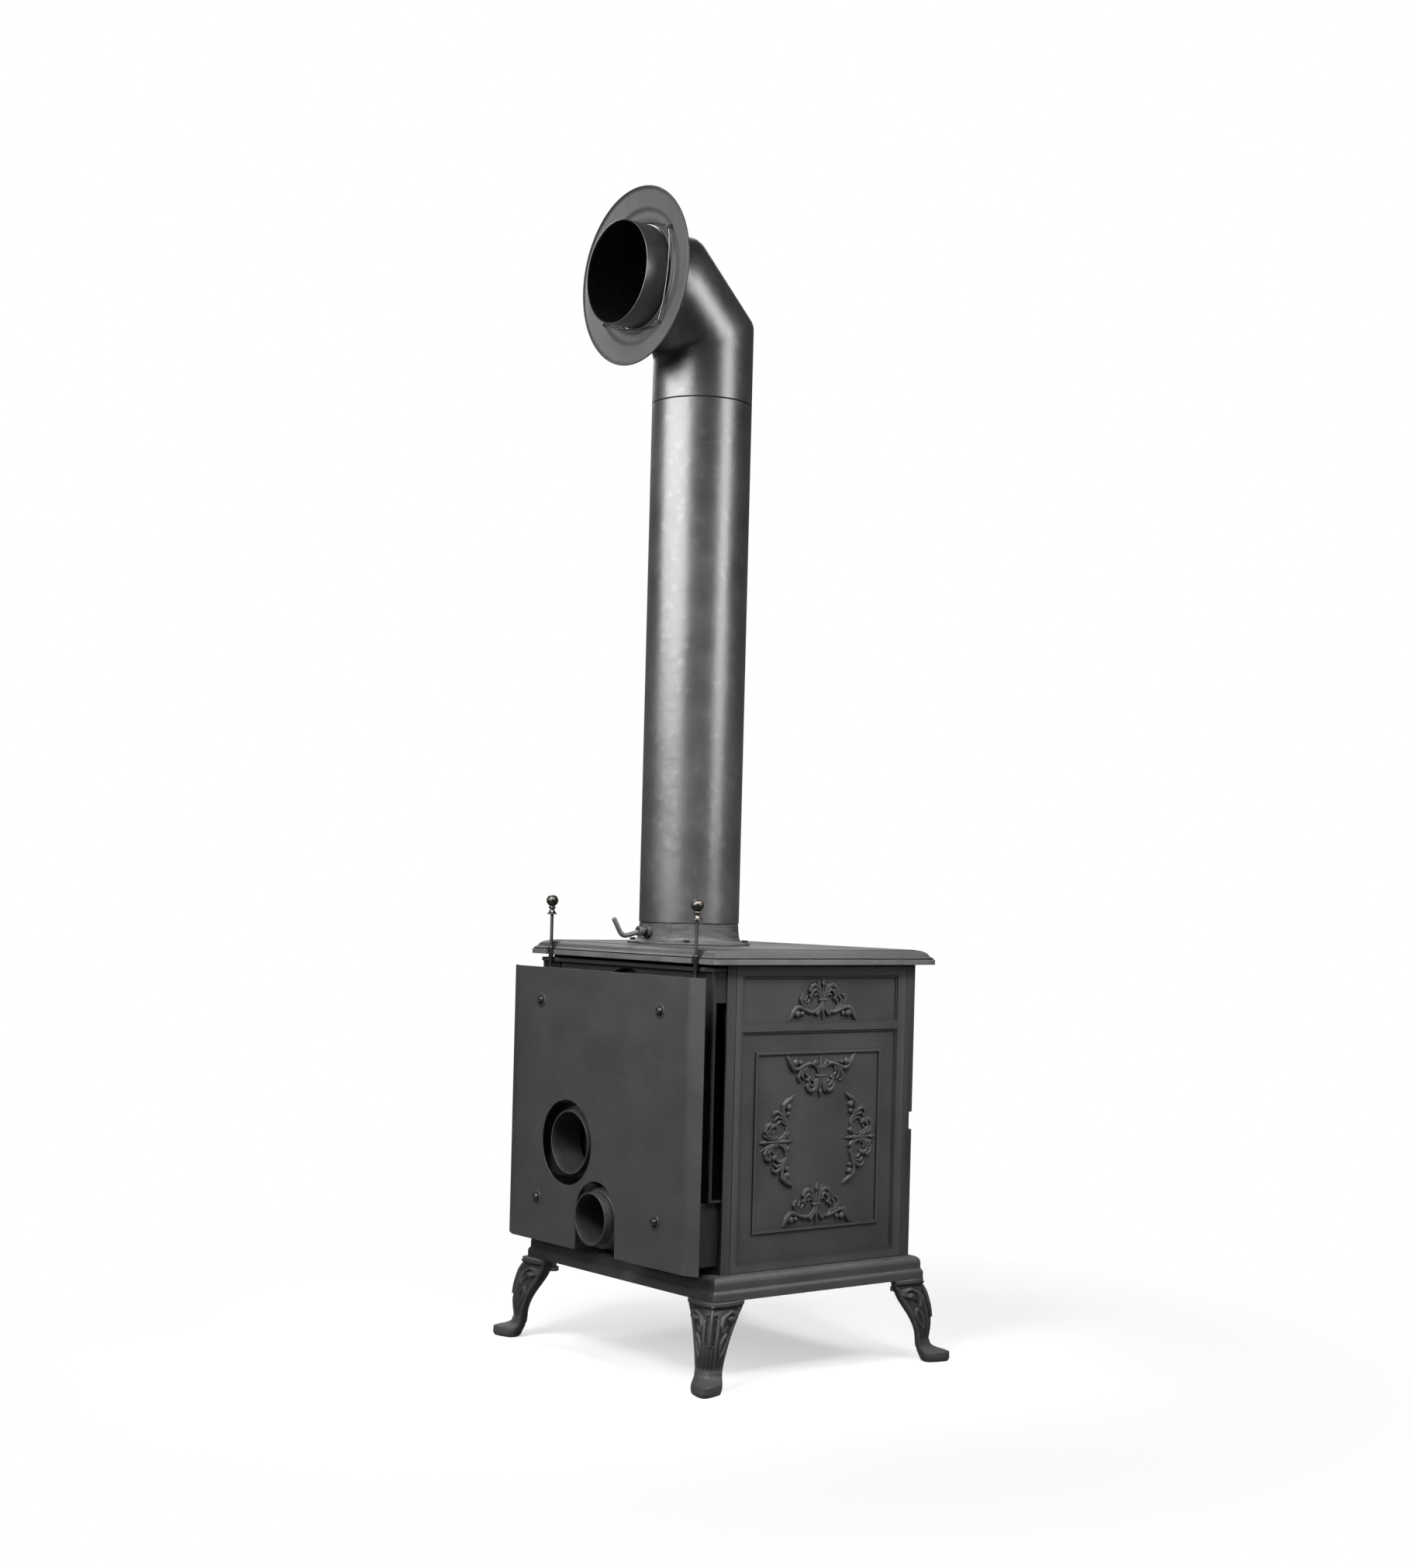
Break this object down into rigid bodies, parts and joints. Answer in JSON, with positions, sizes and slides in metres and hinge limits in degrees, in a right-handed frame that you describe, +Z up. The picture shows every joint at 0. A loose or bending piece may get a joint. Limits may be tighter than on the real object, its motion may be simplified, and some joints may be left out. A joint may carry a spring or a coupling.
{
  "type": "box wood stove with flue",
  "caption": "Cast-iron box wood stove on cabriole legs: glazed door, ash drawer, rear heat shield with air inlets, pull-rod air gates, dampered flue, elbow and wall rosette.",
  "frame": {"origin": "middle of the footprint on the floor, 81 mm in front of the flue axis", "axes": "+Z up, -Y out of the door, +Y towards the wall that the flue enters, +X to the right when facing the door"},
  "size_m": [0.5228, 0.496, 1.723],
  "materials": {
    "cast_iron": "sand-cast, matte black stove polish",
    "stove_sheet": "satin black stove paint",
    "fixing_steel": "oiled steel",
    "dark_nickel": "dark plated, soft gloss",
    "blackened_steel": "blackened, semi-matte",
    "spring_steel": "bright drawn wire",
    "fire_brick": "dry pressed brick",
    "ceramic_glass": "clear, slightly smoked",
    "rope_seal": "braided fibre"
  },
  "bodies": {
    "stove": {"base_plate": "cast_iron", "leg_front_left": "cast_iron", "leg_front_right": "cast_iron", "leg_rear_left": "cast_iron", "leg_rear_right": "cast_iron", "leg_bolts": "fixing_steel", "left_side_panel": "cast_iron", "right_side_panel": "cast_iron", "rear_panel": "cast_iron", "front_frame": "cast_iron", "top_plate": "cast_iron", "tie_rods": "fixing_steel", "flue_collar": "cast_iron", "collar_bolts": "fixing_steel", "damper_bushes": "fixing_steel", "blanking_plate": "cast_iron", "blanking_bolts": "fixing_steel", "baffle_plate": "cast_iron", "left_fire_brick": "fire_brick", "right_fire_brick": "fire_brick", "rear_fire_brick": "fire_brick", "grate_shelf": "cast_iron", "grate": "cast_iron", "log_guard": "cast_iron", "heat_shield": "stove_sheet", "shield_screws": "dark_nickel", "shield_washers": "dark_nickel", "shield_spacers": "fixing_steel", "upper_air_chest": "cast_iron", "lower_air_chest": "cast_iron", "upper_air_spigot": "cast_iron", "lower_air_spigot": "cast_iron", "flue_pipe": "stove_sheet", "flue_elbow": "stove_sheet", "wall_rosette": "stove_sheet", "rosette_spring": "spring_steel", "hinge_pins": "fixing_steel"},
    "damper": {"damper_spindle": "blackened_steel", "damper_disc": "cast_iron", "damper_screws": "fixing_steel"},
    "door": {"door_frame": "cast_iron", "door_glass": "ceramic_glass", "glass_clips": "fixing_steel", "door_seal": "rope_seal"},
    "latch": {"latch_spindle": "fixing_steel", "latch_handle": "dark_nickel", "latch_cam": "cast_iron"},
    "ash_pan": {"ash_drawer": "cast_iron", "drawer_knob": "dark_nickel"},
    "left_air_control": {"left_pull_rod": "blackened_steel", "left_rod_knob": "dark_nickel", "left_rod_sleeve": "blackened_steel", "left_air_gate": "blackened_steel"},
    "right_air_control": {"right_pull_rod": "blackened_steel", "right_rod_knob": "dark_nickel", "right_rod_sleeve": "blackened_steel", "right_air_gate": "blackened_steel"}
  },
  "joints": [
    {"name": "damper_turn", "type": "hinge", "parent": "stove", "child": "damper", "pos_m": [0, 0.081, 0.633], "axis": [0, 1, 0], "range_deg": [0, 90]},
    {"name": "door_swing", "type": "hinge", "parent": "stove", "child": "door", "pos_m": [-0.185, -0.196, 0.398], "axis": [0, 0, -1], "range_deg": [0, 115]},
    {"name": "latch_turn", "type": "hinge", "parent": "door", "child": "latch", "pos_m": [0.136, -0.2, 0.398], "axis": [0, -1, 0], "range_deg": [0, 90]},
    {"name": "drawer_slide", "type": "slide", "parent": "stove", "child": "ash_pan", "axis": [0, -1, 0], "range_m": [0, 0.25]},
    {"name": "left_air_slide", "type": "slide", "parent": "stove", "child": "left_air_control", "axis": [0, 0, 1], "range_m": [0, 0.036]},
    {"name": "right_air_slide", "type": "slide", "parent": "stove", "child": "right_air_control", "axis": [0, 0, 1], "range_m": [0, 0.036]}
  ]
}
